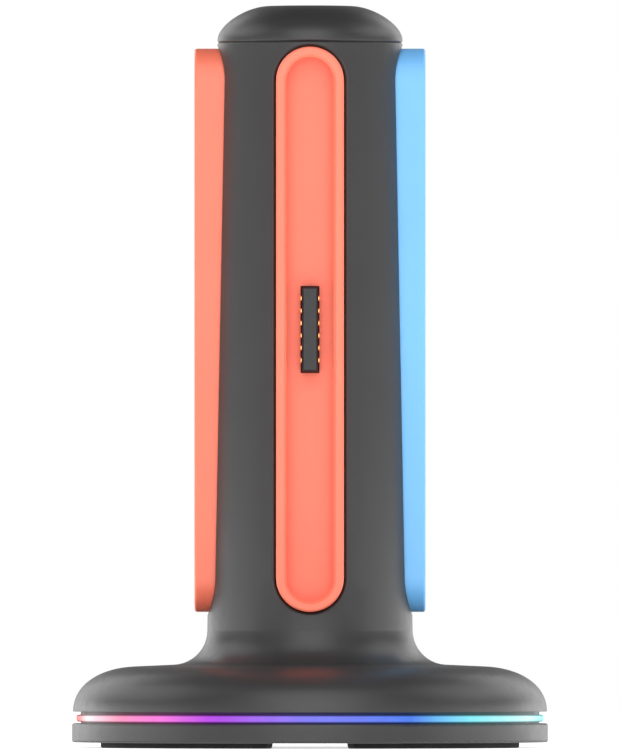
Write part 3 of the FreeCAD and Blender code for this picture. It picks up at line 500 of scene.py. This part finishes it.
def foot_rubber(colour):
    """Matt rubber with a crumbled skin and a little dust."""
    finish = Finish("foot_rubber")
    crumbs = finish.noise(0.4 * MM, 4.0)
    dust = finish.noise(6 * MM, 3.0)
    return finish.surface(
        Base_Color=finish.shades(dust, colour, 0.35),
        Roughness=finish.spread(crumbs, 0.72, 0.9),
        Normal=finish.bump(crumbs, 0.03 * MM))


def ring_colour(finish):
    """The ring's colour at each angle round the axis."""
    x, y, _ = finish.axes()
    turn = finish.math("ARCTAN2", y, x)
    share = finish.math("ADD", finish.math("DIVIDE", turn, 2 * math.pi), 0.5)
    return finish.ramp(share, RING_COLOURS)


def glowing_guide(light):
    """Smoky guide, dark where it is clamped, with a lip that glows in colours once round the foot."""
    finish = Finish("glowing_guide")
    x, y, z = finish.axes()
    squares = finish.math("ADD", finish.math("MULTIPLY", x, x), finish.math("MULTIPLY", y, y))
    radius = finish.math("SQRT", squares)
    on_lip = finish.math("GREATER_THAN", radius, RING_HIGH.x - LIP_GLOW_DEPTH * light.lip_width)
    off_middle = finish.math("ABSOLUTE", finish.math("SUBTRACT", z, light.lip_middle))
    lip_half = light.lip_height / 2
    core = finish.spread(off_middle, 1.0, LIP_EDGE_GLOW, LIP_CORE * lip_half, lip_half)
    cloud = finish.noise(2.5 * MM)
    even = finish.spread(cloud, 0.96 * light.glow, 1.04 * light.glow)
    share = finish.math("MAXIMUM", finish.math("MULTIPLY", on_lip, core), light.seep)
    return finish.surface(
        Base_Color=finish.shades(cloud, (0.01, 0.01, 0.01), 0.1),
        Roughness=finish.spread(cloud, 0.3, 0.42),
        Specular_IOR_Level=0.1,
        Emission_Color=ring_colour(finish),
        Emission_Strength=finish.math("MULTIPLY", share, even))


def lit_lamp(glow):
    """White lamp housing that shines in the ring's colour."""
    finish = Finish("lit_lamp")
    cloud = finish.noise(0.8 * MM)
    return finish.surface(
        Base_Color=finish.shades(cloud, (0.8, 0.79, 0.74), 0.06),
        Roughness=finish.spread(cloud, 0.35, 0.5),
        Emission_Color=ring_colour(finish),
        Emission_Strength=glow)


def circuit_board():
    """Green solder mask over fine copper tracks."""
    finish = Finish("solder_mask")
    tracks = finish.add("ShaderNodeTexBrick", {
        "Vector": finish.place, "Scale": 260.0, "Mortar Size": 0.03, "Color1": (0.012, 0.07, 0.035, 1),
        "Color2": (0.010, 0.06, 0.030, 1), "Mortar": (0.03, 0.13, 0.06, 1)}).outputs
    return finish.surface(
        Base_Color=tracks["Color"],
        Roughness=finish.spread(finish.noise(1.5 * MM), 0.28, 0.4),
        Normal=finish.bump(tracks["Fac"], 0.02 * MM))


def flat_cable():
    """Pale ribbon with its conductors showing as faint stripes along Z."""
    finish = Finish("ribbon_cable")
    x, y, _ = finish.axes()
    wave = finish.math("SINE", finish.math("MULTIPLY", finish.math("ADD", x, y), 2 * math.pi / MM))
    stripes = finish.math("ADD", finish.math("MULTIPLY", wave, 0.2), 0.5)
    return finish.surface(
        Base_Color=finish.shades(stripes, (0.62, 0.62, 0.6), 0.14),
        Roughness=finish.spread(finish.noise(1 * MM), 0.4, 0.5),
        Normal=finish.bump(stripes, 0.02 * MM))


def studio_paper():
    """White paper whose own glow is weaker near the object, a painted shade that joins the cast shadows
    there, and full further off, where it fades into the surround.
    """
    finish = Finish("studio_paper")
    painted_shade_to = 60 * MM
    white_from = 300 * MM
    off = finish.add("ShaderNodeVectorMath", {0: finish.place}, operation="LENGTH").outputs["Value"]
    return finish.surface(
        Base_Color=finish.shades(finish.noise(40 * MM), (0.9, 0.9, 0.9), 0.01),
        Roughness=0.9,
        Specular_IOR_Level=0.0,
        Emission_Color=(1, 1, 1, 1),
        # Painted shade: the paper's glow rises from 0.6 near the object to full white further off
        Emission_Strength=finish.spread(off, 0.6, 1.0, painted_shade_to, white_from))


# Helpers for pieces

def dress(material, *nodes):
    """Gives solids their finish."""
    for name in nodes:
        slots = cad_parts[name].data.materials
        slots.clear()
        slots.append(material)


def on_sides(name):
    """The names of the four nodes of that kind, one on each side."""
    return [name + "_" + side for side in SIDES]


def new_object(name, data):
    """An object in the scene, at the origin."""
    piece = bpy.data.objects.new(name, data)
    bpy.context.scene.collection.objects.link(piece)
    return piece


def finish_mesh(shape, name):
    """A mesh from a bmesh, with its doubles merged and its faces turned outwards."""
    bmesh.ops.remove_doubles(shape, verts=shape.verts, dist=1e-7)
    bmesh.ops.recalc_face_normals(shape, faces=shape.faces)
    mesh = bpy.data.meshes.new(name)
    shape.to_mesh(mesh)
    shape.free()
    return mesh


def smooth(mesh, angle):
    """Shades the mesh smooth, apart from edges sharper than the angle in degrees."""
    mesh.shade_smooth()
    mesh.set_sharp_from_angle(angle=math.radians(angle))
    return mesh


def laid_out(name, mesh, tree, **inputs):
    """A plain mesh of what a tree of geometry nodes makes from one piece."""
    mesh.materials.append(inputs["Finish"])
    piece = new_object(name, mesh)
    modifier = piece.modifiers.new("Layout", "NODES")
    modifier.node_group = tree
    items = tree.interface.items_tree
    sockets = {item.name: item.identifier for item in items if item.in_out == "INPUT"}
    for key, value in inputs.items():
        modifier[sockets[key.replace("_", " ")]] = value
    evaluated = piece.evaluated_get(bpy.context.evaluated_depsgraph_get())
    result = bpy.data.meshes.new_from_object(evaluated)
    piece.modifiers.remove(modifier)
    piece.data = result
    bpy.data.meshes.remove(mesh)
    result.name = name
    return piece


def in_rows(name, mesh, **inputs):
    """Copies of one piece in rows round the axis."""
    return laid_out(name, mesh, bpy.data.node_groups.get(ROW_TREE) or row_tree(), **inputs)


# Shapes

def ring_section(light):
    """Closed section of the light ring: a skirt inside the plate, a clamped body and a rounded lip."""
    outer = RING_HIGH.x
    inner = outer - light.width
    neck = outer - light.lip_width
    low = light.lip_middle - light.lip_height / 2
    high = light.lip_middle + light.lip_height / 2
    edge = light.lip_edge
    points = [(neck, RING_HIGH.z), (neck, high)]
    for height, first in ((high - edge, 90), (low + edge, 0)):
        for step in range(LIP_STEPS + 1):
            angle = math.radians(first - 90 * step / LIP_STEPS)
            points.append((outer - edge + edge * math.cos(angle), height + edge * math.sin(angle)))
    points += [(neck, low), (neck, light.seat), (inner + light.skirt, light.seat),
               (inner + light.skirt, RING_LOW.z), (inner, RING_LOW.z), (inner, RING_HIGH.z)]
    count = len(points)
    mesh = bpy.data.meshes.new("ring section")
    mesh.from_pydata([(radius - outer, -height, 0) for radius, height in points],
                     [(number, (number + 1) % count) for number in range(count)], [])
    return mesh


def leaf_mesh(length, width, thickness, bow):
    """A bowed contact spring from the origin along +X, standing out along +Y, with rounded ends."""
    shape = bmesh.new()
    section = ((0, -1), (thickness, -LEAF_FACE), (thickness, LEAF_FACE), (0, 1))
    rows = []
    for number in range(LEAF_STEPS + 1):
        share = number / LEAF_STEPS
        from_end = min(share, 1 - share) * length
        corner = min(1.0, from_end / (width / 2))
        half = width / 2 * (LEAF_TIP + (1 - LEAF_TIP) * math.sqrt(1 - (1 - corner) ** 2))
        rise = bow * math.sin(math.pi * share)
        points = [(share * length, rise + lift, side * half) for lift, side in section]
        rows.append([shape.verts.new(point) for point in points])
    for near, far in zip(rows, rows[1:]):
        for place in range(len(section)):
            shape.faces.new((near[place], near[place - 1], far[place - 1], far[place]))
    shape.faces.new(rows[0])
    shape.faces.new(rows[-1])
    return finish_mesh(shape, "contact leaf")


def pad_mesh(length, width, thickness):
    """A flat inlet contact along +X with a sloped front edge, its face up."""
    shape = bmesh.new()
    half = width / 2
    flat = length - 2 * thickness
    levels = []
    for reach, height in ((length, 0), (flat, thickness)):
        outline = ((0, -half), (reach, -half), (reach, half), (0, half))
        levels.append([shape.verts.new((x, y, height)) for x, y in outline])
    bridge(shape, *levels)
    for level in levels:
        shape.faces.new(level)
    return finish_mesh(shape, "inlet contact")


def ring_of(shape, radius, height):
    """A level loop of points round a screw's axis."""
    loop = []
    for number in range(SCREW_SIDES):
        angle = 2 * math.pi * number / SCREW_SIDES
        loop.append(shape.verts.new((radius * math.cos(angle), radius * math.sin(angle), height)))
    return loop


def bridge(shape, lower, upper):
    """Faces between two closed loops of as many points."""
    for number in range(len(lower)):
        shape.faces.new((lower[number - 1], lower[number], upper[number], upper[number - 1]))


def screw_head(shape, screw):
    """A pan head below the origin with a cross recess; gives the loop of points round its upper face."""
    edge = screw.head_height * HEAD_EDGE
    rings = [ring_of(shape, screw.head, 0)]
    for step in range(EDGE_STEPS + 1):
        angle = math.pi / 2 * step / EDGE_STEPS
        radius = screw.head - edge * (1 - math.cos(angle))
        rings.append(ring_of(shape, radius, -screw.head_height + edge * (1 - math.sin(angle))))
    for lower, upper in zip(rings, rings[1:]):
        bridge(shape, lower, upper)
    arm = screw.head * RECESS_ARM
    half = screw.head * RECESS_HALF
    cross = [(arm, -half), (arm, half), (half, half), (half, arm), (-half, arm), (-half, half),
             (-arm, half), (-arm, -half), (-half, -half), (-half, -arm), (half, -arm), (half, -half)]
    floor_height = -screw.head_height * RECESS_FLOOR
    mouth = [shape.verts.new((x, y, -screw.head_height)) for x, y in cross]
    floor = [shape.verts.new((x * RECESS_TAPER_X, y * RECESS_TAPER_Y, floor_height)) for x, y in cross]
    bridge(shape, mouth, floor)
    shape.faces.new(floor)
    rim = []
    for loop in (rings[-1], mouth):
        rim += [shape.edges.get((loop[number - 1], loop[number])) for number in range(len(loop))]
    bmesh.ops.triangle_fill(shape, edges=rim, use_beauty=True)
    return rings[0]


def screw_thread(shape, screw, length, loop):
    """A threaded shank that rises from the loop and tapers to a blunt point."""
    steps = int(length / screw.pitch * THREAD_STEPS)
    previous = ring_of(shape, screw.shank * NECK, 0)
    bridge(shape, loop, previous)
    for step in range(1, steps + 1):
        height = length * step / steps
        point = min(1.0, (length - height) / (POINT_LENGTH * screw.shank) + POINT_TIP)
        current = ring_of(shape, screw.shank * point, height)
        for number, vertex in enumerate(current):
            phase = (height / screw.pitch - number / SCREW_SIDES) % 1.0
            crest = max(0.0, 1 - abs(phase - 0.5) * 2 / THREAD_WIDTH)
            swell = THREAD_ROOT + (1 - THREAD_ROOT) * crest
            vertex.co.x *= swell
            vertex.co.y *= swell
        bridge(shape, previous, current)
        previous = current
    shape.faces.new(previous)


def screw_mesh(screw, length):
    """A pan-head screw that points up, with its head below the origin."""
    shape = bmesh.new()
    screw_thread(shape, screw, length, screw_head(shape, screw))
    return smooth(finish_mesh(shape, "base screw"), angle=40)


# Pieces

class STATION_OT_shell(bpy.types.Operator):
    """Finish the tower, its cap and the bottom plate in dark satin plastic."""
    bl_idname = "station.shell"
    bl_label = "Shell"

    def execute(self, context):
        look = context.scene.station.finish
        plastic = moulded("shell_satin", look.shell, look.grain, look.grain_depth,
                          roughness=0.40, change=0.05, edge=look.edge)
        dress(plastic, "tower_shell", "top_cap", "bottom_plate")
        return {"FINISHED"}


class STATION_OT_holders(bpy.types.Operator):
    """Finish the four holders in their two colours."""
    bl_idname = "station.holders"
    bl_label = "Holders"

    def execute(self, context):
        look = context.scene.station.finish
        for name, colour, nodes in (("warm_holder", look.warm, ("holder_left", "holder_front")),
                                    ("cool_holder", look.cool, ("holder_right", "holder_back"))):
            plastic = moulded(name, colour, look.grain, look.grain_depth / 2,
                              roughness=0.42, change=0.02, edge=look.edge)
            dress(plastic, *nodes)
        return {"FINISHED"}


class STATION_OT_light(bpy.types.Operator):
    """Make the light ring in the foot, and light it and the lamps behind it."""
    bl_idname = "station.light"
    bl_label = "Light Ring"

    def execute(self, context):
        light = context.scene.station.light
        ring = laid_out("glowing_ring", ring_section(light), ring_tree(), Radius=RING_HIGH.x,
                        Segments=light.segments, Finish=glowing_guide(light))
        smooth(ring.data, angle=30)
        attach(ring, "root")
        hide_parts("light_ring")
        dress(lit_lamp(light.lamp_glow), "lamps")
        return {"FINISHED"}


class STATION_OT_contacts(bpy.types.Operator):
    """Make the spring contacts in the pockets, and finish the tongues and other black pieces."""
    bl_idname = "station.contacts"
    bl_label = "Contacts"

    def execute(self, context):
        look = context.scene.station.finish
        contact = context.scene.station.contacts
        gold = metal("contact_gold", look.gold, roughness=0.24, stretch=(8, 8, 1))
        length = PINS_HIGH.x - PINS_LOW.x
        tongue_half = PINS_HIGH.y - contact.thickness
        pitch = (PINS_HIGH.z - PINS_LOW.z - contact.width) / (contact.count - 1)
        leaf = leaf_mesh(length, contact.width, contact.thickness, contact.bow)
        leaf.transform(Matrix.Translation((0, tongue_half, 0)))
        middle = (PINS_HIGH.z + PINS_LOW.z) / 2
        pins = in_rows("spring_contacts", leaf, Count=contact.count, Pitch=pitch, Along=(0, 0, 1),
                       Faces=2, Place=(PINS_LOW.x, 0, middle), Turns=4, First_Angle=0.0, Finish=gold)
        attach(pins, "root")
        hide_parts(*on_sides("contact_pins"))
        black = moulded("black_insulator", look.insulator, grain=0.2 * MM, depth=0.006 * MM,
                        roughness=0.42, change=0.1, edge=look.edge / 2)
        dress(black, *on_sides("contact_tongue"), "port_tongue", "cable_sockets", "control_chip",
              "charge_chips", "core_frame")
        return {"FINISHED"}


class STATION_OT_inlet(bpy.types.Operator):
    """Finish the power inlet and lay the contacts on its tongue."""
    bl_idname = "station.inlet"
    bl_label = "Power Inlet"

    def execute(self, context):
        contact = context.scene.station.contacts
        sleeve = metal("inlet_steel", colour=(0.62, 0.62, 0.63), roughness=0.3, stretch=(1, 8, 1))
        dress(sleeve, "power_port")
        pad = pad_mesh(contact.inlet_length, contact.inlet_width, contact.inlet_thickness)
        pad.transform(Matrix.Translation((0, 0, contact.blade / 2)))
        back = INLET_HIGH.y - contact.blade_tip - contact.inlet_length
        middle = (INLET_LOW.z + INLET_HIGH.z) / 2
        gold = bpy.data.materials["contact_gold"]
        pads = in_rows("inlet_contacts", pad, Count=contact.inlet_count, Pitch=contact.inlet_pitch,
                       Along=(0, 1, 0), Faces=2, Place=(back, 0, middle), Turns=1,
                       First_Angle=math.pi / 2, Finish=gold)
        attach(pads, "root")
        return {"FINISHED"}


class STATION_OT_screws(bpy.types.Operator):
    """Make the screws under the bottom plate, and finish those inside and the ballast plate."""
    bl_idname = "station.screws"
    bl_label = "Screws"

    def execute(self, context):
        screw = context.scene.station.screws
        steel = metal("screw_steel", colour=(0.55, 0.55, 0.56), roughness=0.32, stretch=(6, 6, 1))
        under_head = SCREWS_LOW.z + screw.head_height
        circle = (SCREWS_HIGH.x - screw.head) * math.sqrt(2)
        one = screw_mesh(screw, SCREWS_HIGH.z - under_head)
        screws = in_rows("base_pan_screws", one, Count=1, Pitch=0.0, Along=(0, 0, 1), Faces=1,
                         Place=(circle, 0, under_head), Turns=4, First_Angle=math.pi / 4, Finish=steel)
        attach(screws, "root")
        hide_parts("base_screws")
        dress(steel, "board_screws", "frame_screws", "main_board_screws", "ballast_plate")
        return {"FINISHED"}


class STATION_OT_feet(bpy.types.Operator):
    """Finish the four rubber feet."""
    bl_idname = "station.feet"
    bl_label = "Feet"

    def execute(self, context):
        look = context.scene.station.finish
        dress(foot_rubber(look.rubber), *["foot_" + corner for corner in CORNERS])
        return {"FINISHED"}


class STATION_OT_inside(bpy.types.Operator):
    """Finish the boards, cables, magnets and coils inside."""
    bl_idname = "station.inside"
    bl_label = "Inside"

    def execute(self, context):
        look = context.scene.station.finish
        dress(circuit_board(), *on_sides("charge_board"), "main_board", "lamp_board")
        dress(flat_cable(), *on_sides("charge_cable"), "lamp_link")
        nickel = metal("magnet_nickel", colour=(0.66, 0.64, 0.6), roughness=0.2, stretch=(1, 1, 5))
        dress(nickel, *on_sides("magnets"))
        ferrite = moulded("coil_ferrite", colour=(0.05, 0.05, 0.055), grain=0.3 * MM, depth=0.02 * MM,
                          roughness=0.6, change=0.15, edge=look.edge / 2)
        dress(ferrite, "inductors")
        return {"FINISHED"}


# Stage

class STATION_OT_stage(bpy.types.Operator):
    """Set the floor, the light and the camera."""
    bl_idname = "station.stage"
    bl_label = "Stage"

    def execute(self, context):
        stage = context.scene.station.stage
        shape = bmesh.new()
        bmesh.ops.create_circle(shape, cap_ends=True, radius=stage.floor, segments=96)
        floor = new_object("floor", finish_mesh(shape, "floor"))
        floor.data.materials.append(studio_paper())
        make_world(context, stage)
        make_panel(FRONT_PANEL, stage)
        for panel in PAIRED_PANELS:
            for side, sign in (("right", 1), ("left", -1)):
                name = side + " " + panel.name
                make_panel(panel._replace(name=name, azimuth=sign * panel.azimuth), stage)
        make_camera(context, stage)
        context.scene.view_settings.view_transform = "Standard"
        return {"FINISHED"}


def make_panel(panel, stage):
    """A soft light that faces the middle of the tower and stays out of the picture."""
    light = bpy.data.lights.new(panel.name, "AREA")
    light.shape = "RECTANGLE"
    light.size = panel.width
    light.size_y = panel.height
    light.energy = getattr(stage, panel.setting) * math.pi * panel.width * panel.height
    turn = math.radians(panel.azimuth)
    lift = math.radians(panel.elevation)
    level = math.cos(lift)
    towards = Vector((math.sin(turn) * level, -math.cos(turn) * level, math.sin(lift)))
    lamp = new_object(panel.name, light)
    lamp.location = Vector((0, 0, stage.aim)) + towards * panel.distance
    lamp.rotation_euler = towards.to_track_quat("Z", "Y").to_euler()
    lamp.visible_camera = False


def make_world(context, stage):
    """Pale studio all round, a little brighter in front and dim overhead, plain white to the camera."""
    world = bpy.data.worlds.new("studio")
    world.use_nodes = True
    sky = Nodes(world.node_tree)
    towards = sky.add("ShaderNodeTexCoord").outputs["Generated"]
    axes = sky.add("ShaderNodeSeparateXYZ", {0: towards}).outputs
    depth = sky.spread(axes["Y"], stage.front_fill, stage.back_fill,
                       start=-0.6, end=0.3, interpolation="SMOOTHSTEP")
    height = sky.spread(axes["Z"], 1.0, stage.top_fill,
                        start=0.1, end=0.8, interpolation="SMOOTHSTEP")
    to_camera = sky.add("ShaderNodeLightPath").outputs["Is Camera Ray"]
    inputs = {"Factor": to_camera, "A": sky.math("MULTIPLY", depth, height), "B": 1.0}
    seen = sky.add("ShaderNodeMix", inputs).outputs["Result"]
    backdrop = sky.tree.nodes["Background"]
    backdrop.inputs["Color"].default_value = (1, 1, 1, 1)
    sky.feed(backdrop.inputs["Strength"], sky.math("MULTIPLY", seen, stage.surround))
    context.scene.world = world


def make_camera(context, stage):
    """A long lens, far off and low, that looks up at the tower's middle by less than a degree."""
    data = bpy.data.cameras.new("camera")
    data.sensor_width = 36.0
    data.lens = data.sensor_width * stage.distance / stage.view_height
    data.clip_start = 0.1
    data.clip_end = 20.0
    camera = new_object("camera", data)
    camera.location = (0, -stage.distance, stage.eye)
    tilt = math.atan2(stage.aim - stage.eye, stage.distance)
    camera.rotation_euler = (math.pi / 2 + tilt, 0, 0)
    context.scene.camera = camera


class STATION_PT_panel(bpy.types.Panel):
    """The station's pieces and settings in the sidebar."""
    bl_idname = "STATION_PT_panel"
    bl_label = "Charging Station"
    bl_space_type = "VIEW_3D"
    bl_region_type = "UI"
    bl_category = "Station"

    def draw(self, context):
        """Lists the settings, group by group, and a button for each piece."""
        station = context.scene.station
        for title, group in (("Finish", station.finish), ("Light", station.light),
                             ("Contacts", station.contacts), ("Screws", station.screws),
                             ("Stage", station.stage)):
            box = self.layout.box()
            box.label(text=title)
            for key in group.__annotations__:
                box.prop(group, key)
        for operator in OPERATORS:
            self.layout.operator(operator.bl_idname)


OPERATORS = (STATION_OT_shell, STATION_OT_holders, STATION_OT_light, STATION_OT_contacts,
             STATION_OT_inlet, STATION_OT_screws, STATION_OT_feet, STATION_OT_inside, STATION_OT_stage)
CLASSES = (FinishSettings, LightSettings, ContactSettings, ScrewSettings, StageSettings, StationSettings,
           *OPERATORS, STATION_PT_panel)


def register():
    """Adds the classes and the scene's settings to Blender."""
    for cls in CLASSES:
        bpy.utils.register_class(cls)
    bpy.types.Scene.station = PointerProperty(type=StationSettings)


def unregister():
    """Takes them out again."""
    del bpy.types.Scene.station
    for cls in reversed(CLASSES):
        bpy.utils.unregister_class(cls)


def main():
    """Makes the whole station."""
    register()
    bpy.ops.station.shell()
    bpy.ops.station.holders()
    bpy.ops.station.light()
    bpy.ops.station.contacts()
    bpy.ops.station.inlet()
    bpy.ops.station.screws()
    bpy.ops.station.feet()
    bpy.ops.station.inside()
    bpy.ops.station.stage()


if __name__ == "__main__":
    main()
